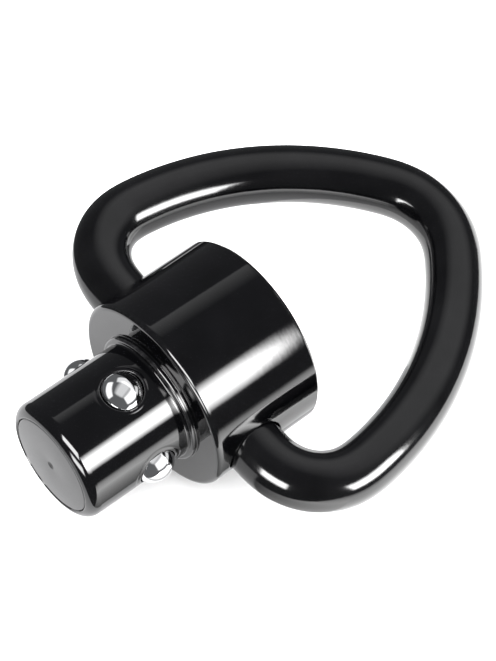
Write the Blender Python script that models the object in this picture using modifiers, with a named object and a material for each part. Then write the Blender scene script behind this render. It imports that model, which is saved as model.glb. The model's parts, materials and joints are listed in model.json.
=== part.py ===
"""Quick-detach ball-lock swivel: a turned head and stem, a push button, four lock balls and a bail.

The body is turned about the swivel axis. Along that axis, height 0 is the shoulder of the head, the stem
points to negative heights and the push button to positive ones. The whole swivel lies on its head: the
swivel axis is level, along +X, and the bail hangs a few degrees below it.
"""
import math

import bmesh
import bpy
from mathutils import Matrix, Vector

MM = 0.001

# Head and stem
STEM_RADIUS = 4.7 * MM
STEM_LENGTH = 9.2 * MM
STEM_TIP_ROUND = 0.95 * MM
STEM_TIP_TURN_DEG = 80
STEM_FOOT_ROUND = 0.15 * MM
COLLAR_RADIUS = 5.15 * MM
COLLAR_HEIGHT = 0.42 * MM
COLLAR_ROUND = 0.25 * MM
HEAD_RADIUS = 7.6 * MM
HEAD_LENGTH = 9.6 * MM
HEAD_FRONT_ROUND = 0.42 * MM
HEAD_BACK_CHAMFER = 0.3 * MM
DISH_RADIUS = 6.3 * MM
DISH_DEPTH = 0.7 * MM
RUNNING_GAP = 0.1 * MM
SEAT_GAP = 0.05 * MM

# Lock balls: they slide inwards as the button goes down, along the ramp of the plunger
BALL_RADIUS = 3.175 * MM / 2
BALL_COUNT = 4
BALL_HEIGHT = -3.15 * MM
BALL_CENTRE_RADIUS = 4.0 * MM
BUTTON_TRAVEL = 2.25 * MM
RAMP_SLOPE = 0.4
LIP_RADIUS = 1.56 * MM
LIP_START = 4.43 * MM

# Bores
STEM_BORE_RADIUS = 2.5 * MM
HEAD_BORE_RADIUS = 4.0 * MM
HEAD_BORE_FLOOR = 1.2 * MM
PLUG_SEAT_RADIUS = 3.9 * MM
PLUG_THICKNESS = 1.15 * MM
PLUG_RECESS = 0.05 * MM
DIMPLE_RADIUS = 0.35 * MM
DIMPLE_DEPTH = 0.25 * MM

# Push button, plunger, snap ring and spring
BUTTON_NOSE_RADIUS = 3.1 * MM
BUTTON_TOP = HEAD_LENGTH - 0.1 * MM
BUTTON_BOTTOM = 6.0 * MM
BUTTON_EDGE_ROUND = 0.35 * MM
RING_BOTTOM = 7.9 * MM
RING_THICKNESS = 0.6 * MM
RING_INNER_RADIUS = 3.35 * MM
RING_GROOVE_RADIUS = 4.45 * MM
RING_GAP_WIDTH = 2.2 * MM
SPIGOT_RADIUS = 1.5 * MM
SPIGOT_TOP = 8.2 * MM
GUIDE_RADIUS = 2.3 * MM
GUIDE_BOTTOM = 0.7 * MM
NECK_RADIUS = 1.4 * MM
LAND_RADIUS = STEM_BORE_RADIUS - RUNNING_GAP
PLUNGER_TIP = -5.5 * MM
PLUNGER_CHAMFER = 0.3 * MM
SPRING_WIRE_RADIUS = 0.225 * MM
SPRING_MEAN_RADIUS = 3.1 * MM
SPRING_OPEN_TURNS = 2.5
SPRING_CLOSED_TURNS = 1.0
SPRING_CLOSED_PITCH = 2.2 * SPRING_WIRE_RADIUS
SPRING_END_GAP = 1.5 * SEAT_GAP
SPRING_POINTS_PER_TURN = 16

# Bail: half of its centreline runs out of the head, round a corner, along a bowed side and over the far end
BAIL_WIRE_RADIUS = 2.23 * MM
BAIL_PIVOT_HEIGHT = 3.5 * MM
BAIL_HOLE_DEPTH = 2.7 * MM
BAIL_STRAIGHT_END = 8.6 * MM
BAIL_CORNER_RADIUS = 4.8 * MM
BAIL_CORNER_TURN = math.radians(93.2)
BAIL_SIDE_RADIUS = 25.0 * MM
BAIL_SIDE_TURN = math.radians(49.5)
BAIL_HANG = math.radians(3.0)

# Mesh fineness
ROUND_STEPS = 64
SMALL_ROUND_STEPS = 40
ARC_STEPS = 5
BALL_SEGMENTS = 24
BALL_RINGS = 14
BAIL_CORNER_STEPS = 16
BAIL_SIDE_STEPS = 10
BAIL_END_STEPS = 8
BAIL_BEVEL_RESOLUTION = 6
SPRING_BEVEL_RESOLUTION = 2
SHARP_ANGLE = math.radians(30)
MERGE_DISTANCE = 0.01 * MM

COLLECTION_NAME = "ball_lock_swivel"
CUTTER_COLLECTION_NAME = "cutters"

# Colour, roughness and metallic value of each material
MATERIALS = {
    "body_black": ((0.012, 0.012, 0.013, 1.0), 0.15, 0.0),
    "bail_black": ((0.018, 0.018, 0.019, 1.0), 0.22, 0.0),
    "button_black": ((0.014, 0.014, 0.015, 1.0), 0.2, 0.0),
    "plug_black": ((0.015, 0.015, 0.016, 1.0), 0.2, 0.0),
    "ball_chrome": ((0.82, 0.82, 0.83, 1.0), 0.08, 1.0),
    "spring_steel": ((0.45, 0.45, 0.46, 1.0), 0.3, 1.0),
    "plunger_steel": ((0.4, 0.4, 0.41, 1.0), 0.35, 1.0),
    "ring_steel": ((0.08, 0.08, 0.085, 1.0), 0.4, 1.0),
}


def clear_scene():
    for obj in list(bpy.data.objects):
        bpy.data.objects.remove(obj, do_unlink=True)


def new_collection(name):
    collection = bpy.data.collections.new(name)
    bpy.context.scene.collection.children.link(collection)
    return collection


def make_material(name):
    colour, roughness, metallic = MATERIALS[name]
    material = bpy.data.materials.new(name)
    material.use_nodes = True
    shader = material.node_tree.nodes["Principled BSDF"]
    shader.inputs["Base Color"].default_value = colour
    shader.inputs["Roughness"].default_value = roughness
    shader.inputs["Metallic"].default_value = metallic
    return material


def arc(centre_r, centre_z, radius, start_deg, end_deg, steps=ARC_STEPS):
    """Points of an arc in a profile, as (radius, height); 0 degrees points outwards and 90 degrees up."""
    points = []
    for i in range(steps + 1):
        angle = math.radians(start_deg + (end_deg - start_deg) * i / steps)
        points.append((centre_r + radius * math.cos(angle), centre_z + radius * math.sin(angle)))
    return points


def turned(name, profile, collection, steps=ROUND_STEPS, closed=True):
    """A solid turned about its own Z, from a profile that runs down its outer side.

    The profile is closed where the solid has a bore.
    """
    bm = bmesh.new()
    verts = [bm.verts.new((r, 0.0, z)) for r, z in profile]
    for a, b in zip(verts, verts[1:]):
        bm.edges.new((a, b))
    if closed:
        bm.edges.new((verts[-1], verts[0]))
    mesh = bpy.data.meshes.new(name)
    bm.to_mesh(mesh)
    bm.free()
    obj = bpy.data.objects.new(name, mesh)
    collection.objects.link(obj)
    screw = obj.modifiers.new("turn", "SCREW")
    screw.axis = "Z"
    screw.angle = 2 * math.pi
    screw.steps = steps
    screw.render_steps = steps
    screw.use_merge_vertices = True
    screw.merge_threshold = MERGE_DISTANCE
    screw.use_normal_calculate = False
    return obj


def apply_modifiers(obj):
    """Replace the object's mesh by its evaluated one, shaded smooth except at sharp edges."""
    depsgraph = bpy.context.evaluated_depsgraph_get()
    mesh = bpy.data.meshes.new_from_object(obj.evaluated_get(depsgraph))
    obj.modifiers.clear()
    obj.data = mesh
    mesh.shade_smooth()
    mesh.set_sharp_from_angle(angle=SHARP_ANGLE)


def add_cut(obj, cutter):
    cut = obj.modifiers.new("cut " + cutter.name, "BOOLEAN")
    cut.operation = "DIFFERENCE"
    cut.solver = "EXACT"
    cut.object = cutter


def as_cutter(obj):
    obj.hide_render = True
    obj.display_type = "WIRE"
    return obj


def radial_matrix(angle, height):
    """Turns an object's own Z away from the swivel axis, at an angle round it and at a height."""
    tip_outwards = Matrix.Rotation(math.pi / 2, 4, "Y")
    return Matrix.Translation((0.0, 0.0, height)) @ Matrix.Rotation(angle, 4, "Z") @ tip_outwards


def ball_angles():
    return [2 * math.pi * i / BALL_COUNT for i in range(BALL_COUNT)]


def body_profile():
    """The head, collar and stem, with the bores, as one closed section."""
    collar_face = -COLLAR_HEIGHT
    tip_centre = STEM_RADIUS - STEM_TIP_ROUND
    groove_bottom = RING_BOTTOM - SEAT_GAP
    groove_top = RING_BOTTOM + RING_THICKNESS + SEAT_GAP
    plug_seat = -STEM_LENGTH + PLUG_RECESS + PLUG_THICKNESS + SEAT_GAP
    outer = [
        (HEAD_BORE_RADIUS, HEAD_LENGTH - DISH_DEPTH),
        (DISH_RADIUS, HEAD_LENGTH),
        (HEAD_RADIUS - HEAD_BACK_CHAMFER, HEAD_LENGTH),
        (HEAD_RADIUS, HEAD_LENGTH - HEAD_BACK_CHAMFER),
    ]
    outer += arc(HEAD_RADIUS - HEAD_FRONT_ROUND, HEAD_FRONT_ROUND, HEAD_FRONT_ROUND, 0, -90)
    outer += [(COLLAR_RADIUS, 0.0)]
    outer += arc(COLLAR_RADIUS - COLLAR_ROUND, collar_face + COLLAR_ROUND, COLLAR_ROUND, 0, -90)
    outer += arc(STEM_RADIUS + STEM_FOOT_ROUND, collar_face - STEM_FOOT_ROUND, STEM_FOOT_ROUND, 90, 180)
    outer += arc(tip_centre, -STEM_LENGTH + STEM_TIP_ROUND, STEM_TIP_ROUND, 0, -STEM_TIP_TURN_DEG)
    outer += [(PLUG_SEAT_RADIUS, -STEM_LENGTH)]
    inner = [
        (PLUG_SEAT_RADIUS, plug_seat),
        (STEM_BORE_RADIUS, plug_seat),
        (STEM_BORE_RADIUS, HEAD_BORE_FLOOR),
        (HEAD_BORE_RADIUS, HEAD_BORE_FLOOR),
        (HEAD_BORE_RADIUS, groove_bottom),
        (RING_GROOVE_RADIUS, groove_bottom),
        (RING_GROOVE_RADIUS, groove_top),
        (HEAD_BORE_RADIUS, groove_top),
    ]
    return outer + inner


def ball_hole_cutter(number, angle, collection):
    """A radial hole that clears the ball, with a narrower lip at its mouth that keeps the ball in."""
    hole_radius = BALL_RADIUS + SEAT_GAP
    inside = STEM_BORE_RADIUS / 2
    outside = STEM_RADIUS + BALL_RADIUS
    profile = [(0.0, outside), (LIP_RADIUS, outside), (LIP_RADIUS, LIP_START)]
    profile += [(hole_radius, LIP_START), (hole_radius, inside), (0.0, inside)]
    cutter = turned(f"ball_hole_cutter_{number}", profile, collection, SMALL_ROUND_STEPS, closed=False)
    cutter.matrix_world = radial_matrix(angle, BALL_HEIGHT)
    return as_cutter(cutter)


def bail_hole_cutter(side, collection):
    """A blind hole in the side of the head for one end of the bail."""
    hole_radius = BAIL_WIRE_RADIUS + RUNNING_GAP
    bottom = HEAD_RADIUS - BAIL_HOLE_DEPTH
    top = HEAD_RADIUS + BAIL_WIRE_RADIUS
    profile = [(0.0, top), (hole_radius, top), (hole_radius, bottom), (0.0, bottom)]
    cutter = turned(f"bail_hole_cutter_{side}", profile, collection, SMALL_ROUND_STEPS, closed=False)
    angle = math.pi / 2 if side == "a" else -math.pi / 2
    cutter.matrix_world = radial_matrix(angle, BAIL_PIVOT_HEIGHT)
    return as_cutter(cutter)


def make_swivel_body(parts, cutters):
    body = turned("swivel_body", body_profile(), parts)
    body.rotation_euler.z = math.pi / ROUND_STEPS
    for number, angle in enumerate(ball_angles(), start=1):
        add_cut(body, ball_hole_cutter(number, angle, cutters))
    for side in "ab":
        add_cut(body, bail_hole_cutter(side, cutters))
    bpy.context.view_layer.update()
    apply_modifiers(body)
    body.data.materials.append(make_material("body_black"))
    return body


def make_stem_end_plug(parts):
    """A disc pressed into the tip of the stem, with a small dimple in its centre."""
    face = -STEM_LENGTH + PLUG_RECESS
    radius = PLUG_SEAT_RADIUS - SEAT_GAP
    profile = [(0.0, face + PLUG_THICKNESS), (radius, face + PLUG_THICKNESS), (radius, face)]
    profile += [(DIMPLE_RADIUS, face), (0.0, face + DIMPLE_DEPTH)]
    plug = turned("stem_end_plug", profile, parts, SMALL_ROUND_STEPS, closed=False)
    apply_modifiers(plug)
    plug.data.materials.append(make_material("plug_black"))
    return plug


def make_plunger(parts):
    """The rod under the button: its land holds the balls out, and its ramp and neck let them in."""
    slope_angle = math.atan(RAMP_SLOPE)
    contact_radius = BALL_CENTRE_RADIUS - BALL_RADIUS * math.cos(slope_angle) - SEAT_GAP
    contact_height = BALL_HEIGHT - BALL_RADIUS * math.sin(slope_angle)
    ramp_start = contact_height + (contact_radius - LAND_RADIUS) / RAMP_SLOPE
    ramp_end = ramp_start + (LAND_RADIUS - NECK_RADIUS) / RAMP_SLOPE
    profile = [
        (0.0, SPIGOT_TOP),
        (SPIGOT_RADIUS, SPIGOT_TOP),
        (SPIGOT_RADIUS, BUTTON_BOTTOM - SEAT_GAP),
        (GUIDE_RADIUS, BUTTON_BOTTOM - SEAT_GAP),
        (GUIDE_RADIUS, GUIDE_BOTTOM),
        (NECK_RADIUS, GUIDE_BOTTOM),
        (NECK_RADIUS, ramp_end),
        (LAND_RADIUS, ramp_start),
        (LAND_RADIUS, PLUNGER_TIP + PLUNGER_CHAMFER),
        (LAND_RADIUS - PLUNGER_CHAMFER, PLUNGER_TIP),
        (0.0, PLUNGER_TIP),
    ]
    plunger = turned("plunger", profile, parts, SMALL_ROUND_STEPS, closed=False)
    apply_modifiers(plunger)
    plunger.data.materials.append(make_material("plunger_steel"))
    return plunger


def make_push_button(parts):
    """The cap that the thumb presses: a flange in the head's bore and a nose inside the snap ring."""
    flange_radius = HEAD_BORE_RADIUS - RUNNING_GAP
    flange_top = RING_BOTTOM - SEAT_GAP
    hole_radius = SPIGOT_RADIUS + SEAT_GAP
    hole_top = SPIGOT_TOP + SEAT_GAP
    edge = BUTTON_EDGE_ROUND
    profile = [(0.0, BUTTON_TOP)]
    profile += arc(BUTTON_NOSE_RADIUS - edge, BUTTON_TOP - edge, edge, 90, 0)
    profile += [
        (BUTTON_NOSE_RADIUS, flange_top),
        (flange_radius, flange_top),
        (flange_radius, BUTTON_BOTTOM),
        (hole_radius, BUTTON_BOTTOM),
        (hole_radius, hole_top),
        (0.0, hole_top),
    ]
    button = turned("push_button", profile, parts, SMALL_ROUND_STEPS, closed=False)
    apply_modifiers(button)
    button.data.materials.append(make_material("button_black"))
    return button


def make_snap_ring(parts, cutters):
    """An open ring in a groove of the head's bore, which keeps the button in."""
    top = RING_BOTTOM + RING_THICKNESS
    outer = RING_GROOVE_RADIUS - SEAT_GAP
    profile = [(RING_INNER_RADIUS, top), (outer, top), (outer, RING_BOTTOM), (RING_INNER_RADIUS, RING_BOTTOM)]
    ring = turned("snap_ring", profile, parts, SMALL_ROUND_STEPS)
    bpy.ops.mesh.primitive_cube_add(size=1.0)
    cutter = bpy.context.active_object
    cutter.name = "ring_gap_cutter"
    cutter.data.transform(Matrix.Diagonal((HEAD_RADIUS, RING_GAP_WIDTH, HEAD_RADIUS, 1.0)))
    cutter.location = (RING_GROOVE_RADIUS, 0.0, RING_BOTTOM)
    move_to_collection(cutter, cutters)
    as_cutter(cutter)
    add_cut(ring, cutter)
    bpy.context.view_layer.update()
    apply_modifiers(ring)
    ring.data.materials.append(make_material("ring_steel"))
    return ring


def move_to_collection(obj, collection):
    for old in list(obj.users_collection):
        old.objects.unlink(obj)
    collection.objects.link(obj)


def round_wire(name, points, wire_radius, bevel_resolution, collection):
    """A round wire along a line of points, with flat ends."""
    curve = bpy.data.curves.new(name, "CURVE")
    curve.dimensions = "3D"
    curve.bevel_depth = wire_radius
    curve.bevel_resolution = bevel_resolution
    curve.use_fill_caps = True
    spline = curve.splines.new("POLY")
    spline.points.add(len(points) - 1)
    for point, place in zip(spline.points, points):
        point.co = (*place, 1.0)
    obj = bpy.data.objects.new(name, curve)
    collection.objects.link(obj)
    return obj


def spring_points():
    """A compression spring with a closed turn at each end and open turns between them."""
    bottom = HEAD_BORE_FLOOR + SPRING_WIRE_RADIUS + SPRING_END_GAP
    top = BUTTON_BOTTOM - SPRING_WIRE_RADIUS - SPRING_END_GAP
    open_rise = top - bottom - 2 * SPRING_CLOSED_PITCH * SPRING_CLOSED_TURNS
    turns = SPRING_OPEN_TURNS + 2 * SPRING_CLOSED_TURNS
    count = round(turns * SPRING_POINTS_PER_TURN)
    points = []
    for i in range(count + 1):
        turn = turns * i / count
        first = min(turn, SPRING_CLOSED_TURNS)
        middle = min(max(turn - SPRING_CLOSED_TURNS, 0.0), SPRING_OPEN_TURNS)
        last = max(turn - SPRING_CLOSED_TURNS - SPRING_OPEN_TURNS, 0.0)
        height = bottom + SPRING_CLOSED_PITCH * (first + last) + open_rise * middle / SPRING_OPEN_TURNS
        angle = 2 * math.pi * turn
        points.append((SPRING_MEAN_RADIUS * math.cos(angle), SPRING_MEAN_RADIUS * math.sin(angle), height))
    return points


def make_return_spring(parts):
    spring = round_wire("return_spring", spring_points(), SPRING_WIRE_RADIUS, SPRING_BEVEL_RESOLUTION, parts)
    spring.data.materials.append(make_material("spring_steel"))
    return spring


def make_lock_ball(number, angle, parts):
    bpy.ops.mesh.primitive_uv_sphere_add(segments=BALL_SEGMENTS, ring_count=BALL_RINGS, radius=BALL_RADIUS)
    ball = bpy.context.active_object
    ball.name = f"lock_ball_{number}"
    ball.data.name = ball.name
    ball.data.shade_smooth()
    move_to_collection(ball, parts)
    ball.matrix_world = radial_matrix(angle, BALL_HEIGHT) @ Matrix.Translation((0.0, 0.0, BALL_CENTRE_RADIUS))
    ball.data.materials.append(make_material("ball_chrome"))
    return ball


def turn_points(start, heading, radius, turn, steps):
    """Points along an arc that turns left from a start point, and the heading at its end."""
    centre = start + radius * Vector((-math.sin(heading), math.cos(heading)))
    points = []
    for i in range(1, steps + 1):
        angle = heading + turn * i / steps
        points.append(centre + radius * Vector((math.sin(angle), -math.cos(angle))))
    return points, heading + turn


def bail_half():
    """Half of the bail's centreline as (sideways, outwards), from the end in the head to its middle."""
    end = HEAD_RADIUS - BAIL_HOLE_DEPTH + RUNNING_GAP
    straight_end = Vector((BAIL_STRAIGHT_END, 0.0))
    points = [Vector((end, 0.0)), Vector((HEAD_RADIUS, 0.0)), straight_end]
    corner, heading = turn_points(straight_end, 0.0, BAIL_CORNER_RADIUS, BAIL_CORNER_TURN, BAIL_CORNER_STEPS)
    side, heading = turn_points(corner[-1], heading, BAIL_SIDE_RADIUS, BAIL_SIDE_TURN, BAIL_SIDE_STEPS)
    end_radius = side[-1].x / math.sin(heading)
    far_end, heading = turn_points(side[-1], heading, end_radius, math.pi - heading, BAIL_END_STEPS)
    return points + corner + side + far_end


def bail_points():
    half = bail_half()
    right = [(0.0, p.x, p.y) for p in half]
    left = [(0.0, -p.x, p.y) for p in half[:-1]]
    return right + left[::-1]


def make_bail(parts):
    """The wire loop, with its origin on the pivot axis through the two holes in the head."""
    bail = round_wire("bail", bail_points(), BAIL_WIRE_RADIUS, BAIL_BEVEL_RESOLUTION, parts)
    bail.location.z = BAIL_PIVOT_HEIGHT
    bail.rotation_euler.y = BAIL_HANG
    bail.data.materials.append(make_material("bail_black"))
    return bail


def make_swivel_axis(parts):
    """An empty on the swivel axis at the shoulder, which lays the swivel on its head over the origin."""
    axis = bpy.data.objects.new("swivel_axis", None)
    parts.objects.link(axis)
    far_end = bail_half()[-1].y
    reach = BAIL_PIVOT_HEIGHT + far_end * math.cos(BAIL_HANG) + BAIL_WIRE_RADIUS
    axis.location = ((STEM_LENGTH - reach) / 2, 0.0, HEAD_RADIUS * math.cos(math.pi / ROUND_STEPS))
    axis.rotation_euler.y = math.pi / 2
    return axis


def main():
    clear_scene()
    parts = new_collection(COLLECTION_NAME)
    cutters = new_collection(CUTTER_COLLECTION_NAME)
    pieces = [
        make_swivel_body(parts, cutters),
        make_stem_end_plug(parts),
        make_plunger(parts),
        make_push_button(parts),
        make_snap_ring(parts, cutters),
        make_return_spring(parts),
        make_bail(parts),
    ]
    for number, angle in enumerate(ball_angles(), start=1):
        pieces.append(make_lock_ball(number, angle, parts))
    axis = make_swivel_axis(parts)
    for piece in pieces:
        piece.parent = axis
    bpy.context.view_layer.update()


main()
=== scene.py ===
"""Looks of the ball-lock swivel: fine meshes, procedural finishes, a pale floor, studio lights and a camera.

Turned pieces are made about their own Z, as in the part's source: height 0 is the shoulder of the head, the
stem points to negative heights and the push button to positive ones. SWIVEL then lays them along +X.
"""
import json
import math

import bmesh
import bpy
from mathutils import Matrix, Vector

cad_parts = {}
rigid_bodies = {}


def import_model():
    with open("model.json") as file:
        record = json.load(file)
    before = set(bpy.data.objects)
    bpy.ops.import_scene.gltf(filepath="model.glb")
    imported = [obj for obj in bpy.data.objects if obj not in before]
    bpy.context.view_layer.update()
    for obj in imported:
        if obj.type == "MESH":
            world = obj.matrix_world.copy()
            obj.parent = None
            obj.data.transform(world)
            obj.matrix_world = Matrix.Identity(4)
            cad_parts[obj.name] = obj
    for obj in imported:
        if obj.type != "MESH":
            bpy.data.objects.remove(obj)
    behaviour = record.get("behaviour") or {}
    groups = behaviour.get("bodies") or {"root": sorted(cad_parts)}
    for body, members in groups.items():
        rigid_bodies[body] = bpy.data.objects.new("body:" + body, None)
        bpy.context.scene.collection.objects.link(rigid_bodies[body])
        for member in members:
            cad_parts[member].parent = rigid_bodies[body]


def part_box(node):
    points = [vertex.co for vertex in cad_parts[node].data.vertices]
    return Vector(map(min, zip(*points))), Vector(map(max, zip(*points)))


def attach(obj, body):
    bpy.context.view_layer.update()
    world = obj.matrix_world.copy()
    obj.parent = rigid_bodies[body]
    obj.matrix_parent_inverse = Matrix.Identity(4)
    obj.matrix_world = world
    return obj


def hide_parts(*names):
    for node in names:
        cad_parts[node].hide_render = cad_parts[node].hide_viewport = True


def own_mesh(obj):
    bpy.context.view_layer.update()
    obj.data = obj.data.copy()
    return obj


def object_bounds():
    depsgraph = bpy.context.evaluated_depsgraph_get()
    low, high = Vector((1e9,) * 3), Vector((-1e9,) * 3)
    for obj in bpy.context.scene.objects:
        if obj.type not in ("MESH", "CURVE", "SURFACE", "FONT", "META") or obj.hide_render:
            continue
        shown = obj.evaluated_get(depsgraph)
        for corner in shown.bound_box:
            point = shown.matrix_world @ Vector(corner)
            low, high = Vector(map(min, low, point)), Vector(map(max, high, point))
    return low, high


MM = 0.001

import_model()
cad_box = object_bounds()

# Head, collar and stem
HEAD_LENGTH = 9.6 * MM
HEAD_RADIUS = 7.6 * MM
HEAD_FRONT_ROUND = 0.42 * MM
HEAD_BACK_EDGE = 0.3 * MM
DISH_RADIUS = 6.3 * MM
DISH_DEPTH = 0.7 * MM
COLLAR_RADIUS = 5.15 * MM
COLLAR_HEIGHT = 0.42 * MM
COLLAR_ROUND = 0.25 * MM
STEM_RADIUS = 4.7 * MM
STEM_LENGTH = 9.2 * MM
STEM_TIP_ROUND = 0.95 * MM
STEM_TIP_TURN = math.radians(77)
STEM_FOOT_ROUND = 0.15 * MM
EDGE_ROUND = 0.06 * MM
RUNNING_GAP = 0.1 * MM
SEAT_GAP = 0.05 * MM

# Bores
HEAD_BORE_RADIUS = 4.0 * MM
HEAD_BORE_FLOOR = 1.2 * MM
STEM_BORE_RADIUS = 2.5 * MM
PLUG_SEAT_RADIUS = 3.9 * MM
RING_GROOVE_RADIUS = 4.45 * MM

# Ball holes: a lip that keeps each ball in, and the ring groove that was punched round it. The band is the
# stretch of the stem that has the holes, as (upper, lower) height.
BALL_LIP_RADIUS = 1.56 * MM
BALL_LIP_START = 4.43 * MM
BALL_LIP_ROUND = 0.09 * MM
STAKE_OFFSET = 0.34 * MM
STAKE_WIDTH = 0.11 * MM
STAKE_DEPTH = 0.022 * MM
BALL_BAND = (-0.85 * MM, -5.45 * MM)

# Bail and its holes in the head. The band is the stretch of the head that has the holes.
BAIL_WIRE_RADIUS = 2.23 * MM
BAIL_PIVOT_HEIGHT = 3.5 * MM
BAIL_HOLE_DEPTH = 2.7 * MM
BAIL_HOLE_EDGE = 0.12 * MM
BAIL_QUARTERS = (1, 3)
BAIL_BAND = (6.5 * MM, 0.5 * MM)
BAIL_STRAIGHT_END = 8.6 * MM
BAIL_CORNER_RADIUS = 4.8 * MM
BAIL_CORNER_TURN = math.radians(93.2)
BAIL_SIDE_RADIUS = 25.0 * MM
BAIL_SIDE_TURN = math.radians(49.5)
BAIL_HANG = math.radians(3.0)
BAIL_STEP = 0.2 * MM
BAIL_BEND_BLEND = 2.4 * MM
BAIL_BLEND_SAMPLES = 12
BAIL_END_EDGE = 0.25 * MM

# Push button, plunger, plug and spring
BUTTON_NOSE_RADIUS = 3.1 * MM
BUTTON_EDGE_ROUND = 0.35 * MM
BUTTON_DISH_RADIUS = 2.5 * MM
BUTTON_DISH_DEPTH = 0.22 * MM
SPIGOT_RADIUS = 1.5 * MM
GUIDE_RADIUS = 2.3 * MM
GUIDE_BOTTOM = 0.7 * MM
NECK_RADIUS = 1.4 * MM
LAND_RADIUS = STEM_BORE_RADIUS - RUNNING_GAP
RAMP_SLOPE = 0.4
PLUNGER_EDGE = 0.3 * MM
RING_INNER_RADIUS = 3.35 * MM
RING_GAP_WIDTH = 2.2 * MM
RING_CORNER_ROUND = 0.08 * MM
PLUG_EDGE_ROUND = 0.16 * MM
DIMPLE_RADIUS = 0.35 * MM
DIMPLE_DEPTH = 0.25 * MM
SPRING_WIRE_RADIUS = 0.225 * MM
SPRING_MEAN_RADIUS = 3.1 * MM
SPRING_OPEN_TURNS = 2.5
SPRING_CLOSED_TURNS = 1.0
SPRING_STEPS_PER_TURN = 40
SPRING_CLOSED_PITCH = 2.2 * SPRING_WIRE_RADIUS
SPRING_GROUND = 0.3 * SPRING_WIRE_RADIUS

# Mesh fineness. A ring starts at one share of a turn and a hole's loop at another share of its own turn, so
# that both start at the same corner of a quarter.
ROUND_STEPS = 192
QUARTERS = 4
QUARTER_STEPS = ROUND_STEPS // QUARTERS
RING_START = -1 / 8
HOLE_START = 3 / 8
PATCH_RINGS = 12
STAKE_RINGS = 10
FILLET_STEPS = 5
FILLET_STEP_LENGTH = 0.04 * MM
TIP_STEPS = 14
DISH_STEPS = 16
WIRE_SIDES = 64
THIN_WIRE_SIDES = 16
BALL_CUTS = 23
POLE_RADIUS = 0.001 * MM

# Patterns in the finishes: the range that noise mostly keeps to, then their sizes and octaves
NOISE_LOW = 0.3
NOISE_HIGH = 0.7
CLOUD_SIZE = 3.0 * MM
SMEAR_SIZE = 5.0 * MM
METAL_SMEAR_SIZE = 0.9 * MM
PEEL_SIZE = 0.9 * MM
LINE_SIZE = 0.25 * MM
SCRATCH_SIZE = 0.15 * MM
SCRATCH_STRETCH = (1.0, 0.15, 1.0)
WEAR_SIZE = 0.5 * MM
PAPER_GRAIN_SIZE = 1.2 * MM
PEEL_OCTAVES = 2.0
GRAIN_OCTAVES = 3.0
CLOUD_OCTAVES = 4.0
SMEAR_OCTAVES = 5.0

# Wear on the edges: it starts where the surface turns by the first angle and is full from the second
EDGE_WEAR_ANGLES = (math.radians(8), math.radians(20))
EDGE_WEAR_LAYER = "edge_wear"
WORN_COLOUR = (0.06, 0.06, 0.062)

# Looks. Colours are (dark, light), roughness is (smooth, rough), and the depths of relief are in metres.
DEEP_BLACK = ((0.0005, 0.0005, 0.0007), (0.0011, 0.0011, 0.0014))
SOFT_BLACK = ((0.0008, 0.0008, 0.001), (0.002, 0.002, 0.0023))
POLISHED_LOOK = {
    "colours": DEEP_BLACK,
    "wear": 0.35,
    "roughness": (0.04, 0.09),
    "peel": 1.5e-6,
    "lines": 0.25e-6,
    "ior": 1.6,
}
COATED_LOOK = {
    "colours": SOFT_BLACK,
    "wear": 0.2,
    "roughness": (0.08, 0.15),
    "peel": 5e-6,
    "lines": 0.0,
    "ior": 1.5,
}
PRESSED_LOOK = {
    "colours": SOFT_BLACK,
    "wear": 0.3,
    "roughness": (0.1, 0.17),
    "peel": 2e-6,
    "lines": 1.2e-6,
    "ior": 1.6,
}
CHROME_LOOK = {
    "colours": ((0.78, 0.79, 0.8), (0.88, 0.88, 0.89)),
    "roughness": (0.06, 0.1),
    "scratch": 0.4e-6,
}
STEEL_LOOK = {
    "colours": ((0.42, 0.42, 0.43), (0.55, 0.55, 0.56)),
    "roughness": (0.22, 0.34),
    "scratch": 0.8e-6,
}
OXIDE_LOOK = {
    "colours": ((0.05, 0.05, 0.055), (0.09, 0.09, 0.095)),
    "roughness": (0.3, 0.42),
    "scratch": 0.8e-6,
}
PAPER_ROUGHNESS = 0.9
PAPER_SPECULAR = 0.1
BLACK = (0.0, 0.0, 0.0)
WHITE = (1.0, 1.0, 1.0)

# Floor, and the cards that stand for it in reflections. A card is given by two opposite corners. The grey
# card's grey is painted shade of the floor under and around the object, and its glow is painted light. The
# white card's
# fades along Y are painted shade: a painted shadow towards the object and a painted falloff of light away
# from it, and its glow is painted light. It is dimmest where each of its fades starts, and brightest where
# the fade ends.
FLOOR_SIZE = 8.0
FLOOR_COLOURS = ((0.9, 0.9, 0.9), (0.93, 0.93, 0.93))
GREY_CARD = ((-90.0 * MM, -9.0 * MM), (9.0 * MM, 21.0 * MM))
GREY_CARD_PAINTED_SHADE_COLOURS = ((0.24, 0.24, 0.245), (0.26, 0.26, 0.265))
GREY_CARD_PAINTED_GLOW = 0.6
WHITE_CARD = ((-22.0 * MM, -170.0 * MM), (60.0 * MM, -9.0 * MM))
WHITE_CARD_PAINTED_SHADOW = (-9.0 * MM, -30.0 * MM)
WHITE_CARD_PAINTED_FALLOFF = (-120.0 * MM, -30.0 * MM)
WHITE_CARD_DIMMEST = 0.1
WHITE_CARD_PAINTED_GLOW = 1.0
FRONT_CARD = ((-5.0 * MM, -34.0 * MM), (60.0 * MM, -9.0 * MM))
RIGHT_CARD = ((9.0 * MM, -9.0 * MM), (150.0 * MM, 9.0 * MM))
CARD_LIFT = 0.02 * MM

# Room: the dim world, the pale backdrop that the camera sees of it, and the light over the floor
ROOM_COLOUR = (0.95, 0.97, 1.0)
ROOM_LIGHT = 0.13
BACKDROP_LIGHT = 1.1
OVERHEAD_HEIGHT = 1.5
OVERHEAD_SIZE = 3.0
OVERHEAD_POWER = 212.0

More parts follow.
